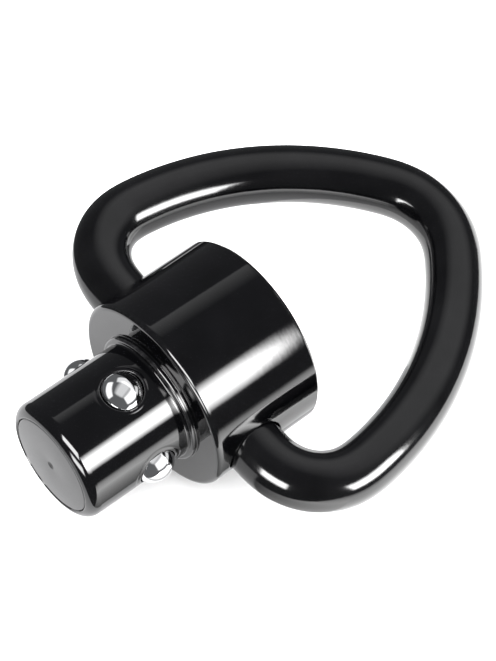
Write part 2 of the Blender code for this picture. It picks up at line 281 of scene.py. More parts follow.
# Softboxes, which are seen only as reflections. Each has a name, the group of pieces that it lights, its
# azimuth and elevation in degrees, its width and height, its power in watts, and the shares of it that fade
# out towards (both sides together, the bottom, the top).
SOFTBOX_DISTANCE = 0.4
SOFTBOXES = (
    ("key_softbox", "turned", 0.0, 37.0, 0.362, 0.25, 8.8, (0.1, 0.42, 0.42)),
    ("high_left_softbox", "turned", -73.0, 53.0, 0.33, 0.18, 3.0, (0.15, 0.1, 0.1)),
    ("low_left_softbox", "turned", -64.0, 15.0, 0.26, 0.17, 2.1, (0.3, 0.2, 0.3)),
    ("back_softbox", "turned", 145.0, 48.5, 0.3, 0.12, 0.075, (0.2, 0.05, 0.9)),
    ("bail_key_softbox", "bail", 21.0, 23.0, 0.28, 0.19, 5.3, (0.1, 0.2, 0.3)),
    ("bail_left_softbox", "bail", -75.0, 15.5, 0.21, 0.18, 3.4, (0.15, 0.3, 0.15)),
    ("ball_front_softbox", "balls", 20.0, 32.0, 0.62, 0.42, 1.0, (0.2, 0.15, 0.2)),
    ("ball_left_softbox", "balls", -135.0, 20.0, 0.6, 0.3, 0.7, (0.2, 0.2, 0.2)),
    ("ball_back_softbox", "balls", 115.0, 45.0, 0.75, 0.3, 0.55, (0.2, 0.1, 0.2)),
    ("ball_sky_softbox", "balls", 20.0, 88.0, 0.8, 0.6, 1.0, (0.3, 0.3, 0.3)),
    ("bail_sky_softbox", "bail", 110.0, 58.0, 1.0, 0.6, 1.3, (0.6, 0.3, 0.5)),
)

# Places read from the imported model
BODY_LOW, BODY_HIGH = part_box("swivel_body")
AXIS_HEIGHT = (BODY_LOW.z + BODY_HIGH.z) / 2
SHOULDER_X = BODY_HIGH.x - HEAD_LENGTH
AXIS_POINT = Vector((0.0, 0.0, AXIS_HEIGHT))
SWIVEL = Matrix.Translation((SHOULDER_X, 0.0, AXIS_HEIGHT)) @ Matrix.Rotation(math.pi / 2, 4, "Y")

# The lock ball on the upper side of the stem gives the size and the place of all four
BALL_LOW, BALL_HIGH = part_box("lock_ball_3")
BALL_RADIUS = (BALL_HIGH.z - BALL_LOW.z) / 2
BALL_CENTRE_RADIUS = (BALL_HIGH.z + BALL_LOW.z) / 2 - AXIS_HEIGHT
BALL_HOLE_HEIGHT = (BALL_HIGH.x + BALL_LOW.x) / 2 - SHOULDER_X
BALL_COUNT = 4

# Camera, as an orbit round a point on the level of the swivel axis
CAMERA_AIM = Vector((-1.403 * MM, 0.058 * MM, AXIS_HEIGHT))
CAMERA_DISTANCE = 166.51 * MM
CAMERA_AZIMUTH = math.radians(-52.43)
CAMERA_ELEVATION = math.radians(59.82)
CAMERA_ROLL = math.radians(14.15)
CAMERA_LENS = 122.95
CAMERA_SENSOR = 36.0
CAMERA_CLIP_RATIO = 100


def heights_of(node):
    """The lowest and highest point of a CAD node along the swivel axis."""
    low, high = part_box(node)
    return low.x - SHOULDER_X, high.x - SHOULDER_X


# ---------------------------------------------------------------- meshes


def rounded(corners):
    """Profile points from (radius, height, rounding) corners. A rounding of 0 keeps a corner sharp."""
    points = []
    for i, (radius, height, rounding) in enumerate(corners):
        here = Vector((radius, height))
        if rounding == 0:
            points.append(here)
            continue
        before = (Vector(corners[i - 1][:2]) - here).normalized()
        after = (Vector(corners[i + 1][:2]) - here).normalized()
        half = before.angle(after) / 2
        reach = rounding / math.tan(half)
        centre = here + (before + after).normalized() * rounding / math.sin(half)
        start = (here + before * reach - centre).normalized()
        end = (here + after * reach - centre).normalized()
        steps = max(FILLET_STEPS, round(rounding / FILLET_STEP_LENGTH))
        for k in range(steps + 1):
            points.append(centre + start.slerp(end, k / steps) * rounding)
    return points


def rounded_loop(corners):
    """The same for a closed section, whose last corner joins the first one."""
    first = (*corners[0][:2], 0.0)
    last = (*corners[-1][:2], 0.0)
    return rounded([last] + corners + [first])[1:-1]


def add_ring(bm, radius, height):
    """A ring round the Z axis, or one vertex on it. It starts at the first corner of quarter 0."""
    if radius < POLE_RADIUS:
        return [bm.verts.new((0.0, 0.0, height))]
    ring = []
    for i in range(ROUND_STEPS):
        angle = 2 * math.pi * (RING_START + i / ROUND_STEPS)
        ring.append(bm.verts.new((radius * math.cos(angle), radius * math.sin(angle), height)))
    return ring


def bridge(bm, first, second):
    """Faces between two closed loops of vertices; either of them may be a single vertex."""
    count = max(len(first), len(second))
    for i in range(count):
        corners = [first[i % len(first)], first[(i + 1) % len(first)]]
        corners += [second[(i + 1) % len(second)], second[i % len(second)]]
        bm.faces.new(list(dict.fromkeys(corners)))


def add_rings(bm, points, previous=None):
    """Turn a line of profile points, joined to a previous ring. Returns the first ring and the last one."""
    first = None
    for point in points:
        ring = add_ring(bm, *point)
        if previous is not None:
            bridge(bm, previous, ring)
        if first is None:
            first = ring
        previous = ring
    return first, previous


def turn_to(quarter):
    """The turn about Z that brings quarter 0, which faces +X, to another quarter."""
    return Matrix.Rotation(quarter * math.pi / 2, 3, "Z")


def distance_out(radius, across):
    """How far out a cylinder's surface lies, at a distance across from the middle line of its quarter."""
    return math.sqrt(radius ** 2 - across ** 2)


def circle_point(i, radius, middle):
    """The place (across, height) of one vertex of a round hole's loop, seen from outside."""
    angle = 2 * math.pi * (HOLE_START - i / ROUND_STEPS)
    return radius * math.cos(angle), middle + radius * math.sin(angle)


def hole_loop(bm, quarter, radius, middle, out):
    """A circle of vertices round a radial hole. out(across) says how far out each one lies."""
    turn = turn_to(quarter)
    loop = []
    for i in range(ROUND_STEPS):
        across, height = circle_point(i, radius, middle)
        loop.append(bm.verts.new(turn @ Vector((out(across), across, height))))
    return loop


def grid_quarter(bm, left, right, upper, lower):
    """A quarter of a cylindrical band without a hole, between its four sides."""
    rows = [upper]
    for k in range(1, QUARTER_STEPS):
        row = [left[k]]
        for a, b in zip(upper[1:-1], lower[1:-1]):
            row.append(bm.verts.new(a.co.lerp(b.co, k / QUARTER_STEPS)))
        rows.append(row + [right[k]])
    rows.append(lower)
    for above, below in zip(rows, rows[1:]):
        for i in range(QUARTER_STEPS):
            bm.faces.new((above[i], above[i + 1], below[i + 1], below[i]))


def drilled_quarter(bm, radius, quarter, left, right, upper, lower, rim):
    """A quarter of a cylindrical band with a round hole in its middle.

    rim lists (hole radius, lift above the cylinder) from the outside of the hole's mouth to its inside.
    """
    middle = (upper[0].co.z + lower[0].co.z) / 2
    previous = upper + right[1:-1] + lower[::-1] + left[1:-1][::-1]
    places = [turn_to(-quarter) @ vert.co for vert in previous]
    mouth_radius = rim[0][0]
    for k in range(1, PATCH_RINGS):
        share = k / PATCH_RINGS
        ring = []
        for i, place in enumerate(places):
            mouth_across, mouth_height = circle_point(i, mouth_radius, middle)
            across = place.y + (mouth_across - place.y) * share
            height = place.z + (mouth_height - place.z) * share
            point = Vector((distance_out(radius, across), across, height))
            ring.append(bm.verts.new(turn_to(quarter) @ point))
        bridge(bm, previous, ring)
        previous = ring
    for hole_radius, lift in rim:
        ring = hole_loop(bm, quarter, hole_radius, middle, lambda across: distance_out(radius, across) + lift)
        bridge(bm, previous, ring)
        previous = ring
    return previous


def add_band(bm, radius, upper, span, rims):
    """A cylindrical band down from a ring. rims gives a hole's rim for some of its quarters.

    Returns the band's last ring and the innermost loop of each hole.
    """
    lower = add_ring(bm, radius, span[1])
    columns = []
    for quarter in range(QUARTERS):
        top = upper[quarter * QUARTER_STEPS]
        bottom = lower[quarter * QUARTER_STEPS]
        places = [top.co.lerp(bottom.co, k / QUARTER_STEPS) for k in range(1, QUARTER_STEPS)]
        columns.append([top] + [bm.verts.new(place) for place in places] + [bottom])
    loops = {}
    for quarter in range(QUARTERS):
        start = quarter * QUARTER_STEPS
        picked = [(start + i) % ROUND_STEPS for i in range(QUARTER_STEPS + 1)]
        sides = (columns[quarter], columns[(quarter + 1) % QUARTERS])
        ends = ([upper[i] for i in picked], [lower[i] for i in picked])
        if quarter in rims:
            loops[quarter] = drilled_quarter(bm, radius, quarter, *sides, *ends, rims[quarter])
        else:
            grid_quarter(bm, *sides, *ends)
    return lower, loops


def rim_steps(hole_radius, rounding):
    """The rounded mouth of a hole, as (hole radius, lift) steps."""
    steps = []
    for k in range(FILLET_STEPS + 1):
        angle = math.pi / 2 * k / FILLET_STEPS
        steps.append((hole_radius + rounding * (1 - math.sin(angle)), rounding * (math.cos(angle) - 1)))
    return steps


def staked_rim():
    """The mouth of a ball hole, with the shallow punched groove round it."""
    outer = BALL_LIP_RADIUS + STAKE_OFFSET + 2 * STAKE_WIDTH
    inner = BALL_LIP_RADIUS + BALL_LIP_ROUND
    steps = []
    for k in range(STAKE_RINGS):
        radius = outer + (inner - outer) * k / STAKE_RINGS
        offset = (radius - BALL_LIP_RADIUS - STAKE_OFFSET) / STAKE_WIDTH
        steps.append((radius, -STAKE_DEPTH * math.exp(-offset ** 2)))
    return steps + rim_steps(BALL_LIP_RADIUS, BALL_LIP_ROUND)


def finish_mesh(bm, name, material, body, place=SWIVEL):
    """Make a piece from a bmesh, with outward normals, smooth shading and its place in the mesh itself."""
    bmesh.ops.recalc_face_normals(bm, faces=bm.faces)
    mesh = bpy.data.meshes.new(name)
    mark_edges(bm)
    bm.to_mesh(mesh)
    bm.free()
    mesh.transform(place)
    mesh.shade_smooth()
    mesh.materials.append(material)
    piece = bpy.data.objects.new(name, mesh)
    bpy.context.scene.collection.objects.link(piece)
    weighted = piece.modifiers.new("flat faces stay flat", "WEIGHTED_NORMAL")
    weighted.mode = "FACE_AREA_WITH_ANGLE"
    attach(piece, body)
    return piece


def mark_edges(bm):
    """Store how sharply the surface turns outwards at each vertex, for the wear on edges."""
    blunt, sharp = EDGE_WEAR_ANGLES
    layer = bm.verts.layers.float.new(EDGE_WEAR_LAYER)
    for vert in bm.verts:
        turn = 0.0
        for edge in vert.link_edges:
            if edge.is_manifold:
                turn = max(turn, edge.calc_face_angle_signed())
        vert[layer] = min(max((turn - blunt) / (sharp - blunt), 0.0), 1.0)


def head_back_profile():
    """From the mouth of the head's bore, over the dish in its back, to the bail holes' band."""
    return rounded([
        (HEAD_BORE_RADIUS, heights_of("snap_ring")[1] + SEAT_GAP, 0.0),
        (HEAD_BORE_RADIUS, HEAD_LENGTH - DISH_DEPTH, EDGE_ROUND),
        (DISH_RADIUS, HEAD_LENGTH, EDGE_ROUND),
        (HEAD_RADIUS - HEAD_BACK_EDGE, HEAD_LENGTH, EDGE_ROUND),
        (HEAD_RADIUS, HEAD_LENGTH - HEAD_BACK_EDGE, EDGE_ROUND),
        (HEAD_RADIUS, BAIL_BAND[0], 0.0),
    ])


def head_front_profile():
    """From the bail holes' band, over the head's face and the collar, to the ball holes' band."""
    return rounded([
        (HEAD_RADIUS, BAIL_BAND[1], 0.0),
        (HEAD_RADIUS, 0.0, HEAD_FRONT_ROUND),
        (COLLAR_RADIUS, 0.0, EDGE_ROUND),
        (COLLAR_RADIUS, -COLLAR_HEIGHT, COLLAR_ROUND),
        (STEM_RADIUS, -COLLAR_HEIGHT, STEM_FOOT_ROUND),
        (STEM_RADIUS, BALL_BAND[0], 0.0),
    ])


def stem_tip_profile():
    """From the ball holes' band, round the stem's tip, into the plug's seat and on to the bore."""
    plug_seat = heights_of("stem_end_plug")[1] + SEAT_GAP
    centre = Vector((STEM_RADIUS - STEM_TIP_ROUND, -STEM_LENGTH + STEM_TIP_ROUND))
    points = [Vector((STEM_RADIUS, BALL_BAND[1])), Vector((STEM_RADIUS, centre.y))]
    for k in range(1, TIP_STEPS + 1):
        angle = -STEM_TIP_TURN * k / TIP_STEPS
        points.append(centre + STEM_TIP_ROUND * Vector((math.cos(angle), math.sin(angle))))
    points.append((PLUG_SEAT_RADIUS, points[-1].y + EDGE_ROUND / 2))
    points.append((PLUG_SEAT_RADIUS, plug_seat))
    points.append((STEM_BORE_RADIUS, plug_seat))
    return points


def bore_profile():
    """From the stem's bore, over the floor of the head's bore, to the snap ring's groove."""
    groove_low, groove_high = heights_of("snap_ring")
    return [
        (STEM_BORE_RADIUS, HEAD_BORE_FLOOR),
        (HEAD_BORE_RADIUS, HEAD_BORE_FLOOR),
        (HEAD_BORE_RADIUS, groove_low - SEAT_GAP),
        (RING_GROOVE_RADIUS, groove_low - SEAT_GAP),
        (RING_GROOVE_RADIUS, groove_high + SEAT_GAP),
    ]


def line_ball_holes(bm, clear_radius, mouths, bore_loops):
    """The wall of each ball hole: the lip under its mouth, the ledge behind it, then clear to the bore."""
    for quarter in range(QUARTERS):
        lip = hole_loop(bm, quarter, BALL_LIP_RADIUS, BALL_HOLE_HEIGHT, lambda across: BALL_LIP_START)
        ledge = hole_loop(bm, quarter, clear_radius, BALL_HOLE_HEIGHT, lambda across: BALL_LIP_START)
        bridge(bm, mouths[quarter], lip)
        bridge(bm, lip, ledge)
        bridge(bm, ledge, bore_loops[quarter])


def close_bail_holes(bm, mouths):
    """The wall and the flat bottom of each bail hole."""
    bottom = HEAD_RADIUS - BAIL_HOLE_DEPTH
    radius = BAIL_WIRE_RADIUS + RUNNING_GAP
    for quarter, mouth in mouths.items():
        rim = hole_loop(bm, quarter, radius, BAIL_PIVOT_HEIGHT, lambda across: bottom)
        centre = bm.verts.new(turn_to(quarter) @ Vector((bottom, 0.0, BAIL_PIVOT_HEIGHT)))
        bridge(bm, mouth, rim)
        bridge(bm, rim, [centre])


def swivel_body_mesh():
    """The head, collar and stem as one closed surface, with four ball holes and two bail holes."""
    bm = bmesh.new()
    first, last = add_rings(bm, head_back_profile())
    bail_rim = rim_steps(BAIL_WIRE_RADIUS + RUNNING_GAP, BAIL_HOLE_EDGE)
    bail_rims = {quarter: bail_rim for quarter in BAIL_QUARTERS}
    last, bail_mouths = add_band(bm, HEAD_RADIUS, last, BAIL_BAND, bail_rims)
    last = add_rings(bm, head_front_profile()[1:], last)[1]
    ball_rims = {quarter: staked_rim() for quarter in range(QUARTERS)}
    last, ball_mouths = add_band(bm, STEM_RADIUS, last, BALL_BAND, ball_rims)
    last = add_rings(bm, stem_tip_profile()[1:], last)[1]
    clear_radius = BALL_RADIUS + SEAT_GAP
    bore_rims = {quarter: [(clear_radius, 0.0)] for quarter in range(QUARTERS)}
    bore_top = add_ring(bm, STEM_BORE_RADIUS, BALL_BAND[0])
    bore_bottom, bore_loops = add_band(bm, STEM_BORE_RADIUS, bore_top, BALL_BAND, bore_rims)
    bridge(bm, last, bore_bottom)
    last = add_rings(bm, bore_profile(), bore_top)[1]
    bridge(bm, last, first)
    line_ball_holes(bm, clear_radius, ball_mouths, bore_loops)
    close_bail_holes(bm, bail_mouths)
    return bm


def plug_mesh():
    """The disc in the tip of the stem, with a rounded edge and a small dimple in its centre."""
    face, back = heights_of("stem_end_plug")
    radius = PLUG_SEAT_RADIUS - SEAT_GAP
    bm = bmesh.new()
    add_rings(bm, rounded([
        (0.0, back, 0.0),
        (radius, back, EDGE_ROUND),
        (radius, face, PLUG_EDGE_ROUND),
        (DIMPLE_RADIUS, face, EDGE_ROUND),
        (0.0, face + DIMPLE_DEPTH, 0.0),
    ]))
    return bm


def button_mesh():
    """The push button: a shallow dish for the thumb, a nose, a flange and a socket for the plunger."""
    bottom, top = heights_of("push_button")
    flange_radius = HEAD_BORE_RADIUS - RUNNING_GAP
    flange_top = heights_of("snap_ring")[0] - SEAT_GAP
    hole_radius = SPIGOT_RADIUS + SEAT_GAP
    hole_top = heights_of("plunger")[1] + SEAT_GAP
    dish = []
    for k in range(DISH_STEPS):
        share = k / DISH_STEPS
        dish.append(Vector((BUTTON_DISH_RADIUS * share, top - BUTTON_DISH_DEPTH * (1 - share ** 2))))
    side = rounded([
        (BUTTON_DISH_RADIUS, top, 0.0),
        (BUTTON_NOSE_RADIUS, top, BUTTON_EDGE_ROUND),
        (BUTTON_NOSE_RADIUS, flange_top, EDGE_ROUND),
        (flange_radius, flange_top, EDGE_ROUND),
        (flange_radius, bottom, EDGE_ROUND),
        (hole_radius, bottom, EDGE_ROUND),
        (hole_radius, hole_top, EDGE_ROUND),
        (0.0, hole_top, 0.0),
    ])
    bm = bmesh.new()
    add_rings(bm, dish + side)
    return bm


def plunger_mesh():
    """The rod under the button, from its spigot down past the guide, the neck and the ramp to the land."""
    tip, top = heights_of("plunger")
    guide_top = heights_of("push_button")[0] - SEAT_GAP
    slope = math.atan(RAMP_SLOPE)
    contact_radius = BALL_CENTRE_RADIUS - BALL_RADIUS * math.cos(slope) - SEAT_GAP
    contact_height = BALL_HOLE_HEIGHT - BALL_RADIUS * math.sin(slope)
    ramp_start = contact_height + (contact_radius - LAND_RADIUS) / RAMP_SLOPE
    ramp_end = ramp_start + (LAND_RADIUS - NECK_RADIUS) / RAMP_SLOPE
    bm = bmesh.new()
    add_rings(bm, rounded([
        (0.0, top, 0.0),
        (SPIGOT_RADIUS, top, EDGE_ROUND),
        (SPIGOT_RADIUS, guide_top, EDGE_ROUND),
        (GUIDE_RADIUS, guide_top, EDGE_ROUND),
        (GUIDE_RADIUS, GUIDE_BOTTOM, EDGE_ROUND),
        (NECK_RADIUS, GUIDE_BOTTOM, EDGE_ROUND),
        (NECK_RADIUS, ramp_end, EDGE_ROUND),
        (LAND_RADIUS, ramp_start, EDGE_ROUND),
        (LAND_RADIUS, tip + PLUNGER_EDGE, EDGE_ROUND),
        (LAND_RADIUS - PLUNGER_EDGE, tip, EDGE_ROUND),
        (0.0, tip, 0.0),
    ]))
    return bm


def add_tube(bm, loops):
    """A closed tube through loops of points, with a centre vertex in each end."""
    rings = [[bm.verts.new(point) for point in loop] for loop in loops]
    for first, second in zip(rings, rings[1:]):
        bridge(bm, first, second)
    for ring in (rings[0], rings[-1]):
        middle = sum((vert.co for vert in ring), Vector()) / len(ring)
        bridge(bm, ring, [bm.verts.new(middle)])


def wire_loop(centre, first_side, second_side, radius, sides):
    """A circle of points round a wire's centre, from two directions across the wire."""
    loop = []
    for i in range(sides):
        angle = 2 * math.pi * i / sides
        loop.append(centre + radius * (math.cos(angle) * first_side + math.sin(angle) * second_side))
    return loop


def snap_ring_mesh():
    """The open ring that holds the button in, with rounded corners."""
    low, high = heights_of("snap_ring")
    outer = RING_GROOVE_RADIUS - SEAT_GAP
    middle_radius = (outer + RING_INNER_RADIUS) / 2
    corners = [(outer, low), (outer, high), (RING_INNER_RADIUS, high), (RING_INNER_RADIUS, low)]
    section = rounded_loop([(*corner, RING_CORNER_ROUND) for corner in corners])
    half_gap = math.asin(RING_GAP_WIDTH / 2 / middle_radius)
    loops = []
    for i in range(ROUND_STEPS + 1):
        angle = half_gap + (2 * math.pi - 2 * half_gap) * i / ROUND_STEPS
        turn = Matrix.Rotation(angle, 3, "Z")
        loops.append([turn @ Vector((point.x, 0.0, point.y)) for point in section])
    bm = bmesh.new()
    add_tube(bm, loops)
    return bm


def spring_mesh():
    """The compression spring, with closed end turns that are ground flat."""
    low, high = heights_of("return_spring")
    bottom = low + SPRING_WIRE_RADIUS
    top = high - SPRING_WIRE_RADIUS
    open_rise = top - bottom - 2 * SPRING_CLOSED_PITCH * SPRING_CLOSED_TURNS
    turns = SPRING_OPEN_TURNS + 2 * SPRING_CLOSED_TURNS
    count = round(turns * SPRING_STEPS_PER_TURN)
    loops = []
    for i in range(count + 1):
        turn = turns * i / count
        closed = min(turn, SPRING_CLOSED_TURNS)
        closed += max(turn - SPRING_CLOSED_TURNS - SPRING_OPEN_TURNS, 0.0)
        opened = min(max(turn - SPRING_CLOSED_TURNS, 0.0), SPRING_OPEN_TURNS)
        height = bottom + SPRING_CLOSED_PITCH * closed + open_rise * opened / SPRING_OPEN_TURNS
        outward = Matrix.Rotation(2 * math.pi * turn, 3, "Z") @ Vector((1.0, 0.0, 0.0))
        centre = SPRING_MEAN_RADIUS * outward + Vector((0.0, 0.0, height))
        loop = wire_loop(centre, outward, Vector((0.0, 0.0, 1.0)), SPRING_WIRE_RADIUS, THIN_WIRE_SIDES)
        for point in loop:
            point.z = min(max(point.z, low + SPRING_GROUND), high - SPRING_GROUND)
        loops.append(loop)
    bm = bmesh.new()
    add_tube(bm, loops)
    return bm


def bail_spans():
    """The first half of the bail's centreline, from the head to its middle, as (length, turn) of each arc."""
    straight = BAIL_STRAIGHT_END - (HEAD_RADIUS - BAIL_HOLE_DEPTH + RUNNING_GAP)
    heading = BAIL_CORNER_TURN + BAIL_SIDE_TURN
    corner_side = BAIL_CORNER_RADIUS * math.sin(BAIL_CORNER_TURN)
    side_side = BAIL_SIDE_RADIUS * (math.sin(heading) - math.sin(BAIL_CORNER_TURN))
    end_radius = (BAIL_STRAIGHT_END + corner_side + side_side) / math.sin(heading)
    end_turn = math.pi - heading
    return [
        (straight, 0.0),
        (BAIL_CORNER_RADIUS * BAIL_CORNER_TURN, BAIL_CORNER_TURN),
        (BAIL_SIDE_RADIUS * BAIL_SIDE_TURN, BAIL_SIDE_TURN),
        (end_radius * end_turn, end_turn),
    ]


def total_length(spans):
    """The length of the first half of the bail's centreline."""
    return sum(span[0] for span in spans)


def heading_along(spans, distance):
    """The direction of the centreline at a distance along it. Past the middle it mirrors the first half."""
    half = total_length(spans)
    if distance > half:
        return 2 * math.pi - heading_along(spans, 2 * half - distance)
    heading = 0.0
    for length, turn in spans:
        share = min(max(distance / length, 0.0), 1.0)
        heading += turn * share
        distance -= length
    return heading


def bent_heading(spans, distance):
    """The same direction averaged over a short length, as a wire bent in a former eases into each bend."""
    offsets = [BAIL_BEND_BLEND * (k / BAIL_BLEND_SAMPLES - 0.5) for k in range(BAIL_BLEND_SAMPLES + 1)]
    return sum(heading_along(spans, distance + offset) for offset in offsets) / len(offsets)


def bail_line():
    """The bail's whole centreline, as (sideways, outwards, heading) in its own plane.

    Easing the bends leaves the first half a little short of the middle or past it, and every point takes its
    share of that miss.
    """
    spans = bail_spans()
    half = total_length(spans)
    count = round(half / BAIL_STEP)
    step = half / count
    place = Vector((HEAD_RADIUS - BAIL_HOLE_DEPTH + RUNNING_GAP, 0.0))
    line = [(place.copy(), bent_heading(spans, 0.0))]
    for i in range(count):
        middle = bent_heading(spans, (i + 0.5) * step)
        place += step * Vector((math.cos(middle), math.sin(middle)))
        line.append((place.copy(), bent_heading(spans, (i + 1) * step)))
    miss = line[-1][0].x / count
    first_half = [(point.x - miss * i, point.y, heading) for i, (point, heading) in enumerate(line)]
    second_half = [(-side, out, 2 * math.pi - heading) for side, out, heading in first_half[-2::-1]]
    return first_half + second_half


def bail_mesh():
    """The bail's round wire, with bevelled ends inside the head."""
    line = bail_line()
    across = Vector((1.0, 0.0, 0.0))
    loops = []
    for side, out, heading in line:
        inward = Vector((0.0, -math.sin(heading), math.cos(heading)))
        loops.append(wire_loop(Vector((0.0, side, out)), inward, across, BAIL_WIRE_RADIUS, WIRE_SIDES))
    for index, neighbour in ((0, 1), (-1, -2)):
        centre = Vector((0.0, *line[index][:2]))
        inner = centre.lerp(Vector((0.0, *line[neighbour][:2])), BAIL_END_EDGE / BAIL_STEP)
        shrink = (BAIL_WIRE_RADIUS - BAIL_END_EDGE) / BAIL_WIRE_RADIUS
        loops[neighbour] = [inner + (point - centre) for point in loops[index]]
        loops[index] = [centre + (point - centre) * shrink for point in loops[index]]
    bm = bmesh.new()
    add_tube(bm, loops)
    return bm


def ball_mesh():
    """A ball from a subdivided cube, so that its faces are even and it has no poles."""
    bm = bmesh.new()
    bmesh.ops.create_cube(bm, size=2.0)
    bmesh.ops.subdivide_edges(bm, edges=bm.edges, cuts=BALL_CUTS, use_grid_fill=True)
    for vert in bm.verts:
        vert.co = BALL_RADIUS * Vector([math.tan(value * math.pi / 4) for value in vert.co]).normalized()
    return bm


# ---------------------------------------------------------------- finishes


def new_material(name):
    """An empty procedural material: its node tree and its shader."""
    material = bpy.data.materials.new(name)
    material.use_nodes = True
    return material, material.node_tree, material.node_tree.nodes["Principled BSDF"]


def place_output(tree):
    """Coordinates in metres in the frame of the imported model."""
    return tree.nodes.new("ShaderNodeTexCoord").outputs["Object"]


def add_noise(tree, place, size, octaves):
    """Even noise whose blotches are about size across, with finer ones inside them."""
    noise = tree.nodes.new("ShaderNodeTexNoise")
    noise.inputs["Scale"].default_value = 1.0 / size
    noise.inputs["Detail"].default_value = octaves
    tree.links.new(place, noise.inputs["Vector"])
    return noise.outputs["Fac"]


def add_lathe_lines(tree, place, size):
    """Noise that varies only along a turned surface: fine rings left by cutting and polishing."""
    away = tree.nodes.new("ShaderNodeVectorMath")
    away.operation = "SUBTRACT"
    away.inputs[1].default_value = AXIS_POINT
    tree.links.new(place, away.inputs[0])
    flat = tree.nodes.new("ShaderNodeVectorMath")
    flat.operation = "MULTIPLY"
    flat.inputs[1].default_value = (0.0, 1.0, 1.0)
    tree.links.new(away.outputs["Vector"], flat.inputs[0])
    radius = tree.nodes.new("ShaderNodeVectorMath")
    radius.operation = "LENGTH"
    tree.links.new(flat.outputs["Vector"], radius.inputs[0])
    split = tree.nodes.new("ShaderNodeSeparateXYZ")
    tree.links.new(place, split.inputs[0])
    along = tree.nodes.new("ShaderNodeMath")
    along.operation = "SUBTRACT"
    tree.links.new(radius.outputs["Value"], along.inputs[0])
    tree.links.new(split.outputs["X"], along.inputs[1])
    lines = tree.nodes.new("ShaderNodeTexNoise")
    lines.noise_dimensions = "1D"
    lines.inputs["Scale"].default_value = 1.0 / size
    lines.inputs["Detail"].default_value = GRAIN_OCTAVES
    tree.links.new(along.outputs["Value"], lines.inputs["W"])
    return lines.outputs["Fac"]


def add_range(tree, value, low, high, start=NOISE_LOW, end=NOISE_HIGH):
    """Stretch a value from start..end to low..high."""
    stretch = tree.nodes.new("ShaderNodeMapRange")
    stretch.inputs["From Min"].default_value = start
    stretch.inputs["From Max"].default_value = end
    stretch.inputs["To Min"].default_value = low
    stretch.inputs["To Max"].default_value = high
    tree.links.new(value, stretch.inputs["Value"])
    return stretch.outputs["Result"]


def add_product(tree, first, second):
    """One value times another."""
    product = tree.nodes.new("ShaderNodeMath")
    product.operation = "MULTIPLY"
    tree.links.new(first, product.inputs[0])
    tree.links.new(second, product.inputs[1])
    return product.outputs["Value"]


def add_mix(tree, factor, first, second):
    """Mix two colours; each is a colour or another node's output."""
    mix = tree.nodes.new("ShaderNodeMix")
    mix.data_type = "RGBA"
    tree.links.new(factor, mix.inputs["Factor"])
    for colour, socket in ((first, mix.inputs["A"]), (second, mix.inputs["B"])):
        if isinstance(colour, tuple):
            socket.default_value = (*colour, 1.0)
        else:
            tree.links.new(colour, socket)
    return mix.outputs["Result"]


def add_bump(tree, height, depth, under=None):
    """Bump from a height of 0..1 that stands for depth in metres, on top of another bump."""
    bump = tree.nodes.new("ShaderNodeBump")
    bump.inputs["Distance"].default_value = depth
    tree.links.new(height, bump.inputs["Height"])
    if under is not None:
        tree.links.new(under, bump.inputs["Normal"])
    return bump.outputs["Normal"]


def add_edge_wear(tree, place, strength):
    """How far the finish has thinned: on the outward edges, broken up by fine noise."""
    attribute = tree.nodes.new("ShaderNodeAttribute")
    attribute.attribute_name = EDGE_WEAR_LAYER
    patchy = add_range(tree, add_noise(tree, place, WEAR_SIZE, CLOUD_OCTAVES), 0.0, strength)
    return add_product(tree, attribute.outputs["Fac"], patchy)


def add_clouding(tree, place, octaves, colours):
    """A colour that drifts between two over a few millimetres."""
    clouding = add_range(tree, add_noise(tree, place, CLOUD_SIZE, octaves), 0.0, 1.0)
    return add_mix(tree, clouding, *colours)


def black_finish(name, colours, wear, roughness, peel, lines, ior):
    """A black finish on metal: clouding, worn edges, uneven gloss, orange peel and lathe lines."""
    material, tree, shader = new_material(name)
    place = place_output(tree)
    colour = add_clouding(tree, place, CLOUD_OCTAVES, colours)
    colour = add_mix(tree, add_edge_wear(tree, place, wear), colour, WORN_COLOUR)
    tree.links.new(colour, shader.inputs["Base Color"])
    gloss = add_range(tree, add_noise(tree, place, SMEAR_SIZE, SMEAR_OCTAVES), *roughness)
    tree.links.new(gloss, shader.inputs["Roughness"])
    relief = add_bump(tree, add_noise(tree, place, PEEL_SIZE, PEEL_OCTAVES), peel)
    if lines > 0:
        relief = add_bump(tree, add_lathe_lines(tree, place, LINE_SIZE), lines, relief)
    tree.links.new(relief, shader.inputs["Normal"])
    shader.inputs["IOR"].default_value = ior
    return material


def bare_metal(name, colours, roughness, scratch):
    """Bare metal: slightly uneven colour and gloss, and fine scratches."""
    material, tree, shader = new_material(name)
    place = place_output(tree)
    tree.links.new(add_clouding(tree, place, GRAIN_OCTAVES, colours), shader.inputs["Base Color"])
    gloss = add_range(tree, add_noise(tree, place, METAL_SMEAR_SIZE, SMEAR_OCTAVES), *roughness)
    tree.links.new(gloss, shader.inputs["Roughness"])
    stretched = tree.nodes.new("ShaderNodeVectorMath")
    stretched.operation = "MULTIPLY"
    stretched.inputs[1].default_value = SCRATCH_STRETCH
    tree.links.new(place, stretched.inputs[0])
    scratches = add_noise(tree, stretched.outputs["Vector"], SCRATCH_SIZE, GRAIN_OCTAVES)
    tree.links.new(add_bump(tree, scratches, scratch), shader.inputs["Normal"])
    shader.inputs["Metallic"].default_value = 1.0
    return material


def new_paper(name, glow):
    """Matt paper, which may also shine by itself: that glow is painted light."""
    material, tree, shader = new_material(name)
    shader.inputs["Roughness"].default_value = PAPER_ROUGHNESS
    shader.inputs["Specular IOR Level"].default_value = PAPER_SPECULAR
    shader.inputs["Emission Strength"].default_value = glow
    return material, tree, shader


